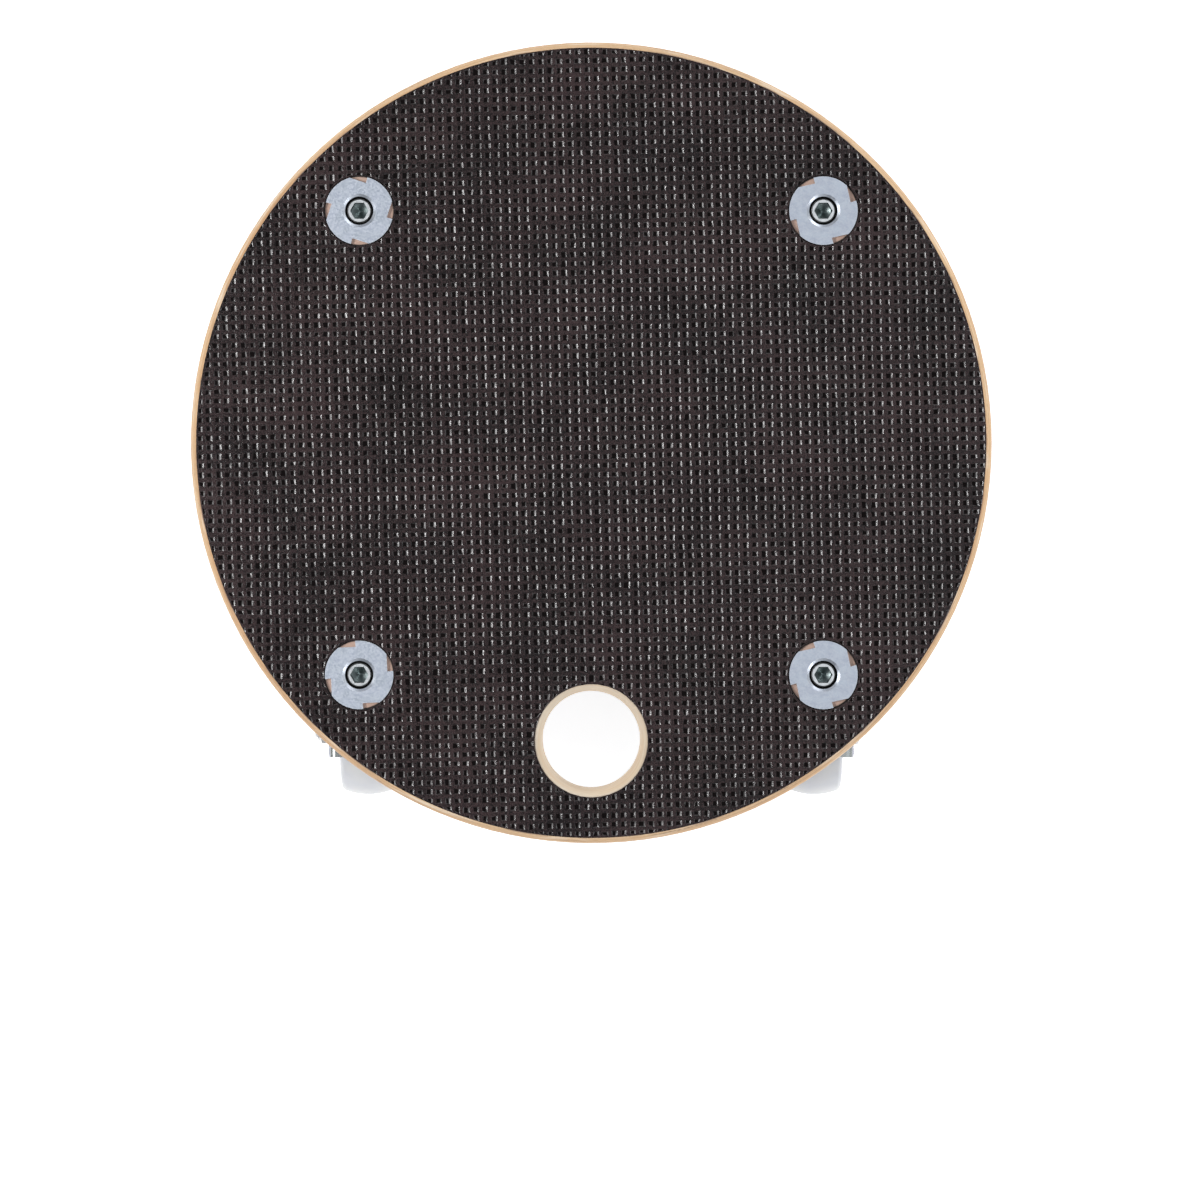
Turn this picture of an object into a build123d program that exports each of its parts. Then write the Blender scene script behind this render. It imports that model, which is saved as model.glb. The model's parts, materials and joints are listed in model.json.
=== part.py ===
from build123d import *
from math import atan2, hypot, pi, sqrt, tan
import os

# A round furniture dolly: a film-faced plywood disc on four swivel casters.
# Millimetres. The origin is on the floor under the middle of the board, +Z up.
# The hand hole is at the front (-Y), and every caster trails towards the front.
# Caster pieces are modelled about their kingpin axis, with z = 0 at the board's underside.

# Board
board_diameter = 300.0
board_thickness = 18.0  # both films included
film_thickness = 0.4
edge_bulge = 3.1  # the rounded edge stands out this far past the films
hand_hole_diameter = 36.5
hand_hole_mouth = 42.2
hand_hole_land = 6.0  # straight stretch half way through the board
hand_hole_edge = 39.0  # hole centre to board edge
pin_edge = 27.7  # kingpin axis to board edge

# Tee nut in the top of the board, over each kingpin
flange_diameter = 25.5
flange_thickness = 1.5
flange_recess = 0.1  # below the deck
barrel_diameter = 12.0
barrel_length = 13.0
barrel_bevel = 1.3
barrel_bevel_depth = 0.8
notch_depth = 2.2
notch_chord = 6.4
prong_count = 4
prong_width = 4.4
prong_length = 6.0
prong_thickness = 1.2
seat_clearance = 0.45  # round the flange
barrel_clearance = 0.1
nut_turns = {"front_left": 7.0, "front_right": 17.0, "rear_left": -14.0, "rear_right": 17.0}

# Kingpin stem, riveted over under the lower race
thread_diameter = 9.8
thread_clearance = 0.05  # in the tee nut and in the dome
stem_recess = 1.0  # stem end below the deck
stem_chamfer = 0.8
socket_width = 6.0
socket_depth = 5.0
shoulder_diameter = 14.0
shoulder_height = 2.4
shank_diameter = 10.0
rivet_diameter = 15.0
rivet_height = 2.4
rivet_round = 0.8

# Swivel head: dome, two rings of balls, lower race
dome_sheet = 2.0
dome_top_radius = 15.2
dome_bend_drop = 2.0
dome_bend_radius = 17.4
dome_bend_bulge = 0.4
dome_crease_drop = 4.6
dome_crease_radius = 18.95
dome_crease_step = 0.3
dome_rim_drop = 9.3
dome_rim_radius = 21.1
dome_rim_round = 0.7
dome_wall_foot = 0.4  # straight stretch under the upper balls' centres
ball_play = 0.05  # between a ball and its races
ball_gap = 0.3  # at least, between one ball and the next
upper_ball = 4.0
upper_ring = 14.0
upper_groove = 0.9
lower_ball = 3.0
lower_ring = 7.8
lower_groove = 0.5
race_radius = 10.2
race_thickness = 1.8
race_margin = 0.4  # between the lower race and the fork's flanks

# Fork, pressed from sheet
fork_sheet = 2.0
crown_depth = 15.0  # board underside to the underside of the fork's web
crown_radius = 18.7
crown_bend_drop = 10.0
crown_round = 1.0
crown_top_margin = 0.1  # the fork's head ends this far inside the upper ring of balls
fork_hole_clearance = 0.8
joggle_depth = 1.0  # the legs step in this far towards the back
joggle_start = 13.8
joggle_end = 9.8
joggle_round = 6.0
back_start = 5.7  # where the back wall starts to curve
back_reach = 13.0
fork_bend = 3.0
boss_radius = 7.3
web_overhang = 0.9
skirt_radius = 125.0  # lower back edge of the legs
skirt_margin = 0.2  # that edge ends this far behind the back wall

# Wheel and axle
wheel_diameter = 50.0
wheel_width = 20.0
wheel_top_gap = 5.0  # wheel to fork web
wheel_side_gap = 1.6  # wheel to each leg
wheel_setback = 0.0  # rearmost point of the wheel to the kingpin axis
tread_round = 2.5
rim_depth = 5.8
dish_slope = 2.4
dish_depth = 2.8
dish_round = 1.5
hub_diameter = 17.4
hub_side_gap = 0.3
hub_round = 0.6
sleeve_diameter = 8.0
sleeve_bore = 6.2
sleeve_running_clearance = 0.08
axle_diameter = 5.9
axle_hole = 6.4
bolt_width = 10.0  # across flats
bolt_head_height = 4.0
nut_height = 5.0
nut_collar_height = 1.0
nut_collar_radius = 4.2
nut_clearance = 0.05
axle_tip = 1.2  # bolt end past the nut
axle_chamfer = 0.6
hex_bevel = 0.55  # drop of a bevelled corner for each millimetre outside its round face
hex_face_inset = 0.5  # that round face ends this far inside the flats
bolt_turns = {"front_left": 12.0, "front_right": 27.0, "rear_left": 21.0, "rear_right": 9.0}

# Worked out from the sizes above
board_radius = board_diameter / 2
wheel_radius = wheel_diameter / 2
caster_height = crown_depth + wheel_top_gap + wheel_diameter
deck_height = caster_height + board_thickness
pin_offset = (board_radius - pin_edge) / sqrt(2)
axle_y = -(wheel_radius + wheel_setback)
axle_z = wheel_radius - caster_height
inner_half = wheel_width / 2 + wheel_side_gap
upper_ball_z = -(dome_sheet + ball_play + upper_ball / 2)
plate_top = upper_ball_z - upper_ball / 2 - ball_play + upper_groove
plate_bottom = plate_top - fork_sheet
lower_ball_z = plate_bottom + lower_groove - ball_play - lower_ball / 2
race_top = lower_ball_z - lower_ball / 2 - ball_play + lower_groove
race_bottom = race_top - race_thickness
web_top = fork_sheet - crown_depth
corners = {
    "front_left": (-pin_offset, -pin_offset),
    "front_right": (pin_offset, -pin_offset),
    "rear_left": (-pin_offset, pin_offset),
    "rear_right": (pin_offset, pin_offset),
}


def rod(radius, low, high):
    """Upright cylinder from one height to another."""
    return Pos(0, 0, low) * extrude(Circle(radius), high - low)


def turned(*points):
    """Solid turned about the Z axis from (radius, height) points."""
    return revolve(Plane.XZ * make_face(Polyline(*points, close=True)), Axis.Z)


def soften(face, point, radius):
    """Round the corner of a flat face that lies nearest to a point."""
    corner = face.vertices().sort_by_distance(Vector(*point))[0]
    return fillet(corner, radius)


def hexagon(width, low, high, bevelled):
    """Upright hexagon, with its corners bevelled at the top."""
    body = Pos(0, 0, low) * extrude(RegularPolygon(width / 2, 6, major_radius=False), high - low)
    if bevelled:
        face = width / 2 - hex_face_inset
        drop = (width - face) * hex_bevel
        body &= turned((0, low), (width, low), (width, high - drop), (face, high), (0, high))
    return body


def ring_of_balls(diameter, ring, height):
    count = int(2 * pi * ring / (diameter + ball_gap))
    balls = []
    for index in range(count):
        balls.append(Rot(0, 0, 360 * index / count) * Pos(ring, 0, height) * Sphere(diameter / 2))
    return Compound([ball.solid() for ball in balls])


def ball_track(diameter, ring, height):
    """Ring-shaped room that the balls run in, play included."""
    section = Plane.XZ * Pos(ring, height) * Circle(diameter / 2 + ball_play)
    return revolve(section, Axis.Z)


# Board and films

def board_blank():
    """Whole board with its rounded edge, films included."""
    face_radius = board_radius - edge_bulge
    half = board_thickness / 2
    outline = [
        Line((0, -half), (face_radius, -half)),
        ThreePointArc((face_radius, -half), (board_radius, 0), (face_radius, half)),
        Line((face_radius, half), (0, half)),
        Line((0, half), (0, -half)),
    ]
    return Pos(0, 0, deck_height - half) * revolve(Plane.XZ * make_face(outline), Axis.Z)


def hand_hole():
    """Room of the hand hole: a straight middle that flares to both faces."""
    neck = hand_hole_diameter / 2
    mouth = hand_hole_mouth / 2
    land = hand_hole_land / 2
    half = board_thickness / 2
    flare = mouth - neck
    rise = half - land
    bend = (rise ** 2 + flare ** 2) / (2 * flare)
    middle = rise / 2
    middle_radius = neck + bend - sqrt(bend ** 2 - middle ** 2)
    outline = [
        Line((0, -half), (mouth, -half)),
        ThreePointArc((mouth, -half), (middle_radius, -land - middle), (neck, -land)),
        Line((neck, -land), (neck, land)),
        ThreePointArc((neck, land), (middle_radius, land + middle), (mouth, half)),
        Line((mouth, half), (0, half)),
        Line((0, half), (0, -half)),
    ]
    room = revolve(Plane.XZ * make_face(outline), Axis.Z)
    return Pos(0, hand_hole_edge - board_radius, deck_height - half) * room


def slab(low, high):
    return Pos(0, 0, (low + high) / 2) * Box(board_diameter * 2, board_diameter * 2, high - low)


def board_pieces():
    """Plywood core and the two films, bored for the hand hole and the tee nuts."""
    blank = board_blank() - hand_hole()
    flange_bottom = deck_height - flange_recess - flange_thickness
    seat_radius = flange_diameter / 2 + seat_clearance
    for name, (x, y) in corners.items():
        blank -= Pos(x, y) * rod(seat_radius, flange_bottom, deck_height)
        blank -= Pos(x, y) * rod(barrel_diameter / 2 + barrel_clearance, caster_height, deck_height)
        turned_nut = Pos(x, y, deck_height) * Rot(0, 0, nut_turns[name])
        for prong in prongs():
            blank -= turned_nut * prong
    core_top = deck_height - film_thickness
    core_bottom = caster_height + film_thickness
    return {
        "deck_board": blank & slab(core_bottom, core_top),
        "top_film": blank & slab(core_top, deck_height),
        "bottom_film": blank & slab(caster_height, core_bottom),
    }


# Tee nut, with z = 0 at the deck

def notch_corners():
    """Ends of one notch's slanted edge: deep end on the X axis, shallow end on the rim."""
    rim = flange_diameter / 2
    deep = rim - notch_depth
    cosine = (rim ** 2 + deep ** 2 - notch_chord ** 2) / (2 * rim * deep)
    return (deep, 0.0), (rim * cosine, rim * sqrt(1 - cosine ** 2))


def prongs():
    """Pointed prongs bent down from the flange along each notch."""
    deep_end, rim_end = notch_corners()
    along = Vector(rim_end[0] - deep_end[0], rim_end[1] - deep_end[1]).normalized()
    inward = Vector(-along.Y, along.X)
    top = -flange_recess - flange_thickness
    tip = prong_width / 4
    blade = Polyline((0, 0), (prong_width, 0), (tip, prong_length), close=True)
    side = Plane(origin=(*deep_end, top), x_dir=(along.X, along.Y, 0), z_dir=(inward.X, inward.Y, 0))
    prong = extrude(side * make_face(blade), prong_thickness)
    return [Rot(0, 0, 360 * index / prong_count) * prong for index in range(prong_count)]


def tee_nut():
    top = -flange_recess
    bore = thread_diameter / 2 + thread_clearance
    rim = flange_diameter / 2
    deep_end, rim_end = notch_corners()
    nut = rod(rim, top - flange_thickness, top)
    outside = 2 * rim
    notch = make_face(Polyline(deep_end, rim_end, (outside, rim_end[1]), (outside, 0), close=True))
    cutter = Pos(0, 0, top - flange_thickness) * extrude(notch, flange_thickness)
    for index in range(prong_count):
        nut -= Rot(0, 0, 360 * index / prong_count) * cutter
    nut += rod(barrel_diameter / 2, top - barrel_length, top)
    for prong in prongs():
        nut += prong
    nut -= rod(bore, top - barrel_length, top)
    bevel_bottom = top - barrel_bevel_depth
    return nut - turned((0, top), (bore + barrel_bevel, top), (bore, bevel_bottom), (0, bevel_bottom))


# Kingpin stem and swivel head

def stem():
    thread = thread_diameter / 2
    shank = shank_diameter / 2
    shoulder = shoulder_diameter / 2
    rivet = rivet_diameter / 2
    top = board_thickness - stem_recess
    shoulder_bottom = -dome_sheet - shoulder_height
    rivet_bottom = race_bottom - rivet_height
    body = turned(
        (0, top), (thread - stem_chamfer, top), (thread, top - stem_chamfer), (thread, -dome_sheet),
        (shoulder, -dome_sheet), (shoulder, shoulder_bottom), (shank, shoulder_bottom),
        (shank, race_bottom), (rivet, race_bottom), (rivet, rivet_bottom + rivet_round),
        (rivet - 2 * rivet_round, rivet_bottom), (0, rivet_bottom),
    )
    socket = hexagon(socket_width, top - socket_depth, top, False)
    drill_tip = turned((0, top - socket_depth), (socket_width / 2, top - socket_depth),
                       (0, top - socket_depth - socket_width / 4))
    return body - socket - drill_tip


def dome():
    """Fixed upper shell of the swivel head, curled over the upper balls."""
    hole = thread_diameter / 2 + thread_clearance
    wrap = upper_ball / 2 + ball_play
    rim_inner = dome_rim_radius - dome_sheet
    wall_foot = upper_ball_z - dome_wall_foot
    run = dome_bend_radius - dome_top_radius
    bulge = dome_bend_bulge / hypot(run, dome_bend_drop)
    shoulder = (dome_top_radius + run / 2 + bulge * dome_bend_drop, bulge * run - dome_bend_drop / 2)
    outline = [
        Polyline((hole, -dome_sheet), (hole, 0), (dome_top_radius, 0)),
        ThreePointArc((dome_top_radius, 0), shoulder, (dome_bend_radius, -dome_bend_drop)),
        Polyline((dome_bend_radius, -dome_bend_drop), (dome_crease_radius, -dome_crease_drop),
                 (dome_crease_radius + dome_crease_step, -dome_crease_drop - dome_crease_step / 2),
                 (dome_rim_radius, -dome_rim_drop), (rim_inner, -dome_rim_drop),
                 (upper_ring + wrap, wall_foot), (upper_ring + wrap, upper_ball_z)),
        ThreePointArc((upper_ring + wrap, upper_ball_z),
                      (upper_ring + wrap * sqrt(0.5), upper_ball_z + wrap * sqrt(0.5)),
                      (upper_ring, -dome_sheet)),
        Line((upper_ring, -dome_sheet), (hole, -dome_sheet)),
    ]
    section = soften(make_face(outline), (dome_rim_radius, -dome_rim_drop), dome_rim_round)
    return revolve(Plane.XZ * section, Axis.Z)


def lower_race():
    """Washer on the stem that carries the lower balls."""
    hole = shank_diameter / 2 + thread_clearance
    washer = rod(race_radius, race_bottom, race_top) - rod(hole, race_bottom, race_top)
    return washer - ball_track(lower_ball, lower_ring, lower_ball_z)


# Fork

def leg_section(shrink):
    """Plan of the U-shaped legs and back wall, moved inwards by shrink."""
    wide = inner_half + fork_sheet - shrink
    narrow = wide - joggle_depth
    front = axle_y - boss_radius - crown_radius
    turn = shrink * joggle_depth / (joggle_start - joggle_end) / 2
    side = [(wide, front), (wide, -joggle_start - turn), (narrow, -joggle_end - turn), (narrow, -back_start)]
    mirrored = [(-x, y) for x, y in side]
    return make_face([
        FilletPolyline(*side, radius=joggle_round),
        FilletPolyline(*mirrored, radius=joggle_round),
        EllipticalCenterArc((0, -back_start), narrow, back_start + back_reach - shrink, arc_size=180),
        Line((wide, front), (-wide, front)),
    ])


def leg_side():
    """Side view of the legs: front edge, boss round the axle, curved lower back edge."""
    front = axle_y - boss_radius
    end_y = back_reach + skirt_margin
    end_z = -crown_depth
    reach = hypot(end_y - axle_y, end_z - axle_z)
    along_y = (end_y - axle_y) / reach
    along_z = (end_z - axle_z) / reach
    swing = skirt_radius - boss_radius
    part = (reach ** 2 + swing ** 2 - skirt_radius ** 2) / (2 * reach)
    rise = sqrt(swing ** 2 - part ** 2)
    centre = Vector(axle_y + part * along_y - rise * along_z, axle_z + part * along_z + rise * along_y)
    boss = Vector(axle_y, axle_z)
    end = Vector(end_y, end_z)
    down = (boss - centre).normalized()
    meet = boss + down * boss_radius
    halfway = centre + (down + (end - centre).normalized()).normalized() * skirt_radius
    below = boss + (down + Vector(-1, 0)).normalized() * boss_radius
    above = web_top + crown_radius
    return make_face([
        ThreePointArc((front, axle_z), below, meet),
        ThreePointArc(meet, halfway, end),
        Polyline(end, (end_y, above), (front - web_overhang, above), (front - web_overhang, end_z),
                 (front, end_z), (front, axle_z)),
    ])


def fork():
    """Pressed fork: round head over the balls, web, legs and back wall in one sheet."""
    depth = crown_depth + 2 * wheel_diameter
    shell = Pos(0, 0, -depth) * extrude(leg_section(0), depth + web_top)
    rear = shell.faces().sort_by(Axis.Z)[-1].edges().sort_by(Axis.Y)[1:]
    shell = fillet(rear, fork_bend)
    room = Pos(0, 0, -depth) * extrude(leg_section(fork_sheet), depth - crown_depth)
    ceiling = room.faces().sort_by(Axis.Z)[-1].edges().sort_by(Axis.Y)[1:]
    room = fillet(ceiling, fork_bend - fork_sheet)
    side = Plane(origin=(-crown_radius, 0, 0), x_dir=(0, 1, 0), z_dir=(1, 0, 0)) * leg_side()
    legs = (shell - room) & extrude(side, 2 * crown_radius)
    hole = shank_diameter / 2 + fork_hole_clearance
    head_top = upper_ring + upper_ball / 2 - crown_top_margin
    inside = crown_radius - fork_sheet
    slope = atan2(crown_bend_drop + plate_top, crown_radius - head_top)
    neck = head_top - fork_sheet * tan(slope / 2)
    knee = -crown_bend_drop - fork_sheet * tan(pi / 4 - slope / 2)
    head = turned(
        (hole, plate_top), (head_top, plate_top), (crown_radius, -crown_bend_drop),
        (crown_radius, crown_round - crown_depth), (crown_radius - crown_round, -crown_depth),
        (0, -crown_depth), (0, web_top), (inside, web_top),
        (inside, knee), (neck, plate_bottom), (hole, plate_bottom),
    )
    window = extrude(leg_section(fork_sheet), -crown_depth) & rod(inside, -crown_depth, web_top)
    # The head is round in front and behind. At its sides the legs run straight up to its plate.
    outside = inner_half + fork_sheet
    flank = 2 * sqrt(crown_radius ** 2 - outside ** 2)
    sides = Pos(0, 0, -crown_depth) * extrude(Rectangle(3 * crown_radius, flank), crown_depth + plate_bottom)
    sides -= Pos(0, 0, -crown_depth) * extrude(leg_section(0), crown_depth + plate_bottom)
    foot = web_top - fork_bend
    bulk = turned((0, foot), (crown_radius, foot), (crown_radius, -crown_bend_drop), (head_top, plate_top),
                  (0, plate_top))
    collar = Pos(0, 0, foot) * extrude(leg_section(0) - leg_section(fork_sheet), plate_bottom - foot)
    collar = (collar & bulk) - rod(race_radius + race_margin, foot, plate_bottom)
    body = legs + head - window - sides + collar
    body -= ball_track(upper_ball, upper_ring, upper_ball_z)
    body -= ball_track(lower_ball, lower_ring, lower_ball_z)
    return body - along_axle(rod(axle_hole / 2, -crown_radius, crown_radius))


# Wheel and axle, modelled upright with z along the axle

def along_axle(piece):
    """Lay an upright piece along the axle, its top towards the right."""
    return Pos(0, axle_y, axle_z) * Rot(0, 90, 0) * piece


def wheel():
    """Moulded wheel: ball-crowned tread, dished sides and a hub that runs on the sleeve."""
    half = wheel_width / 2
    edge = sqrt(wheel_radius ** 2 - half ** 2)
    rim = wheel_radius - rim_depth
    dish = rim - dish_slope
    web = half - dish_depth
    hub = hub_diameter / 2
    hub_end = inner_half - hub_side_gap
    bore = sleeve_diameter / 2 + sleeve_running_clearance
    side = [(edge, half), (rim, half), (dish, web), (hub, web), (hub, hub_end), (bore, hub_end)]
    lower = [(radius, -height) for radius, height in reversed(side)]
    section = make_face([
        ThreePointArc((edge, -half), (wheel_radius, 0), (edge, half)),
        Polyline(*side, *lower),
    ])
    rounds = [tread_round, dish_round, dish_round, hub_round, hub_round]
    for (radius, height), size in zip(side, rounds):
        section = soften(section, (radius, height), size)
        section = soften(section, (radius, -height), size)
    return along_axle(revolve(Plane.XZ * section, Axis.Z))


def axle_sleeve():
    tube = rod(sleeve_diameter / 2, -inner_half, inner_half)
    return along_axle(tube - rod(sleeve_bore / 2, -inner_half, inner_half))


def axle_bolt():
    """Hexagon bolt lying along X, its middle at the origin and its head to the right."""
    outside = inner_half + fork_sheet
    tip = -outside - nut_height - nut_collar_height - axle_tip
    core = axle_diameter / 2
    end_edge = core - axle_chamfer
    shank = turned((0, outside), (core, outside), (core, tip + axle_chamfer), (end_edge, tip), (0, tip))
    return Rot(0, 90, 0) * (shank + hexagon(bolt_width, outside, outside + bolt_head_height, True))


def axle_nut():
    """Self-locking nut with its round collar outwards."""
    outside = inner_half + fork_sheet
    top = outside + nut_height
    body = hexagon(bolt_width, outside, top, True)
    body += rod(nut_collar_radius, top, top + nut_collar_height)
    body -= rod(axle_diameter / 2 + nut_clearance, outside, top + nut_collar_height)
    return along_axle(Rot(180, 0, 0) * body)


def caster_pieces():
    """Everything on one caster but its axle bolt."""
    return {
        "stem": stem(),
        "swivel_dome": dome(),
        "upper_balls": ring_of_balls(upper_ball, upper_ring, upper_ball_z),
        "lower_balls": ring_of_balls(lower_ball, lower_ring, lower_ball_z),
        "lower_race": lower_race(),
        "fork": fork(),
        "wheel": wheel(),
        "axle_sleeve": axle_sleeve(),
        "axle_nut": axle_nut(),
    }


def all_nodes():
    nodes = board_pieces()
    nut = tee_nut()
    caster = caster_pieces()
    bolt = axle_bolt()
    for corner, (x, y) in corners.items():
        nodes["tee_nut_" + corner] = Pos(x, y, deck_height) * Rot(0, 0, nut_turns[corner]) * nut
        for name, piece in caster.items():
            nodes[name + "_" + corner] = Pos(x, y, caster_height) * piece
        axle = Pos(x, y + axle_y, caster_height + axle_z) * Rot(bolt_turns[corner], 0, 0)
        nodes["axle_bolt_" + corner] = axle * bolt
    return nodes


os.makedirs("parts", exist_ok=True)
for node_name, shape in all_nodes().items():
    export_step(shape, "parts/" + node_name + ".step")
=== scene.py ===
import json
import math

import bmesh
import bpy
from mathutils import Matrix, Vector


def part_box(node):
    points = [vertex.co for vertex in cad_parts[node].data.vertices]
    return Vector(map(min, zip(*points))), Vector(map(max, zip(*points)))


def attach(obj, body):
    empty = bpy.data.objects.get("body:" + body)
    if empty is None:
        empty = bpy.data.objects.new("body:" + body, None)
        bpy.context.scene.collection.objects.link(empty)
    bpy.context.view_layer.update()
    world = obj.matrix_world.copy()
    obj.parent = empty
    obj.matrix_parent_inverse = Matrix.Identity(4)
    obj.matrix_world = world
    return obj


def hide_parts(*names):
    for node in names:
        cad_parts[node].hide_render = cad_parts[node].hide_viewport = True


# Furniture dolly: film-faced plywood disc on four swivel casters. Metres, +Z up, hand hole towards -Y.
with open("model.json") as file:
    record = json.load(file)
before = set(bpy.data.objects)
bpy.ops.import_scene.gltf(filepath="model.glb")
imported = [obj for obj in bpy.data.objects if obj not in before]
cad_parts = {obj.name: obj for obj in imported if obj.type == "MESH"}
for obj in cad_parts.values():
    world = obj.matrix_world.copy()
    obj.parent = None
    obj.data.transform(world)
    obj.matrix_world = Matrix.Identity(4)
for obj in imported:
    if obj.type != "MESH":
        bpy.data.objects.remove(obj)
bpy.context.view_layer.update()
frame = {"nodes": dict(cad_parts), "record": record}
nodes = frame["nodes"]
cornerNames = ("front_left", "front_right", "rear_left", "rear_right")

stemLow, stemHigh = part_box("stem_rear_right")
pinOffset = (stemLow.x + stemHigh.x) / 2  # kingpins stand at +-pinOffset in x and y
filmLow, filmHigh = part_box("top_film")
filmRadius = (filmHigh.x - filmLow.x) / 2
deckZ = filmHigh.z
boardLow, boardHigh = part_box("deck_board")
handHole = next(m for m in frame["record"]["mounts"] if m["name"] == "hand_hole")
holeCentre = Vector((handHole["pos_m"][0], handHole["pos_m"][1], 0))
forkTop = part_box("fork_rear_right")[1].z
axleLow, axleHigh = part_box("axle_bolt_rear_right")
axleY = (axleLow.y + axleHigh.y) / 2 - pinOffset  # the axle, measured from its kingpin
axleZ = (axleLow.z + axleHigh.z) / 2
print("frame:", len(nodes), "nodes, deck at", round(deckZ, 4))


# node helpers: every tree below is built with these
def pick(sockets, key):
    if isinstance(key, int):
        return sockets[key]
    return next(s for s in sockets if s.name == key and s.enabled)  # several kinds may share a name


def add(tree, kind, values=None, **settings):
    node = tree.nodes.new(kind)
    for name, value in settings.items():
        setattr(node, name, value)
    for key, value in (values or {}).items():
        socket = pick(node.inputs, key)
        if isinstance(value, bpy.types.NodeSocket):
            tree.links.new(value, socket)
        else:
            socket.default_value = value
    return node


def newTree(name, kind, inputs, outputs):
    tree = bpy.data.node_groups.new(name, kind)
    for label, socketType, value in inputs:
        socket = tree.interface.new_socket(name=label, in_out="INPUT", socket_type=socketType)
        if value is not None:
            socket.default_value = value
    for label, socketType in outputs:
        tree.interface.new_socket(name=label, in_out="OUTPUT", socket_type=socketType)
    start = tree.nodes.new("NodeGroupInput")
    return tree, start.outputs, tree.nodes.new("NodeGroupOutput").inputs


def shaderGroup(name, inputs, outputs):
    return newTree(name, "ShaderNodeTree", inputs, outputs)


def place(tree, group, values):
    node = add(tree, "ShaderNodeGroup", node_tree=group)
    for key, value in values.items():
        if isinstance(value, bpy.types.NodeSocket):
            tree.links.new(value, node.inputs[key])
        else:
            node.inputs[key].default_value = value
    return node.outputs


def calc(tree, operation, a, b=0.0, clamp=False):
    return add(tree, "ShaderNodeMath", {0: a, 1: b}, operation=operation, use_clamp=clamp).outputs[0]


def fit(tree, value, low, high, toLow=0.0, toHigh=1.0):
    sockets = {"Value": value, "From Min": low, "From Max": high, "To Min": toLow, "To Max": toHigh}
    return add(tree, "ShaderNodeMapRange", sockets).outputs["Result"]


def mixColour(tree, factor, a, b, blend="MIX"):
    node = add(tree, "ShaderNodeMix", {0: factor}, data_type="RGBA", blend_type=blend)
    for key, value in ((6, a), (7, b)):
        if isinstance(value, bpy.types.NodeSocket):
            tree.links.new(value, node.inputs[key])
        else:
            node.inputs[key].default_value = (*value, 1)
    return node.outputs[2]


def noise(tree, vector, size, detail=2.0, rough=0.5, distortion=0.0):
    values = {"Vector": vector, "Scale": 1 / size, "Detail": detail, "Roughness": rough}
    return add(tree, "ShaderNodeTexNoise", {**values, "Distortion": distortion}).outputs["Fac"]


def stretched(tree, vector, scale, location=(0, 0, 0)):
    values = {"Vector": vector, "Scale": scale, "Location": location}
    return add(tree, "ShaderNodeMapping", values).outputs[0]


def distance(tree, vector, point=(0, 0, 0)):
    return add(tree, "ShaderNodeVectorMath", {0: vector, 1: point}, operation="DISTANCE").outputs["Value"]


def newMaterial(name, **constants):
    material = bpy.data.materials.new(name)
    material.use_nodes = True
    tree = material.node_tree
    shader = tree.nodes["Principled BSDF"]
    for key, value in constants.items():
        shader.inputs[key.replace("_", " ")].default_value = value
    return material, tree, shader


def band(tree, value, low, high, soft):
    rising = fit(tree, value, low - soft, low + soft)
    falling = fit(tree, value, high + soft, high - soft)
    return calc(tree, "MULTIPLY", rising, falling)


def objectPlace(tree):
    return add(tree, "ShaderNodeTexCoord").outputs["Object"]


def wire(tree, shader, **sockets):
    for key, value in sockets.items():
        tree.links.new(value, shader.inputs[key.replace("_", " ")])


def bump(tree, height, strength, distance, normal=None):
    values = {"Height": height, "Strength": strength, "Distance": distance}
    if normal is not None:
        values["Normal"] = normal
    return add(tree, "ShaderNodeBump", values).outputs["Normal"]


def buildCasterPlace():
    # place measured from the nearest kingpin, so all four casters share one pattern
    group, start, end = shaderGroup("casterPlace", [("Pin", "NodeSocketFloat", 0.09)],
                                    [("Vector", "NodeSocketVector"), ("Height", "NodeSocketFloat"),
                                     ("Reach", "NodeSocketFloat")])
    x, y, z = add(group, "ShaderNodeSeparateXYZ", {"Vector": objectPlace(group)}).outputs
    sideways = calc(group, "SUBTRACT", calc(group, "ABSOLUTE", x), start["Pin"])
    along = add(group, "ShaderNodeMath", {0: calc(group, "SUBTRACT", y, start["Pin"]), 1: start["Pin"],
                                          2: calc(group, "MULTIPLY", start["Pin"], -1.0)}, operation="WRAP")
    whole = add(group, "ShaderNodeCombineXYZ", {"X": sideways, "Y": along.outputs[0], "Z": z}).outputs[0]
    flat = add(group, "ShaderNodeCombineXYZ", {"X": sideways, "Y": along.outputs[0]}).outputs[0]
    group.links.new(whole, end["Vector"])
    group.links.new(z, end["Height"])
    group.links.new(distance(group, flat), end["Reach"])
    return group


def buildEdgeWear():
    group, start, end = shaderGroup("edgeWear", [("Width", "NodeSocketFloat", 0.0003),
                                                 ("Gain", "NodeSocketFloat", 3.0)],
                                    [("Mask", "NodeSocketFloat")])
    rounded = add(group, "ShaderNodeBevel", {"Radius": start["Width"]}, samples=4).outputs[0]
    true = add(group, "ShaderNodeNewGeometry").outputs["Normal"]
    same = add(group, "ShaderNodeVectorMath", {0: rounded, 1: true}, operation="DOT_PRODUCT")
    away = calc(group, "SUBTRACT", 1.0, same.outputs["Value"])
    group.links.new(calc(group, "MULTIPLY", away, start["Gain"], clamp=True), end["Mask"])
    return group


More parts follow.
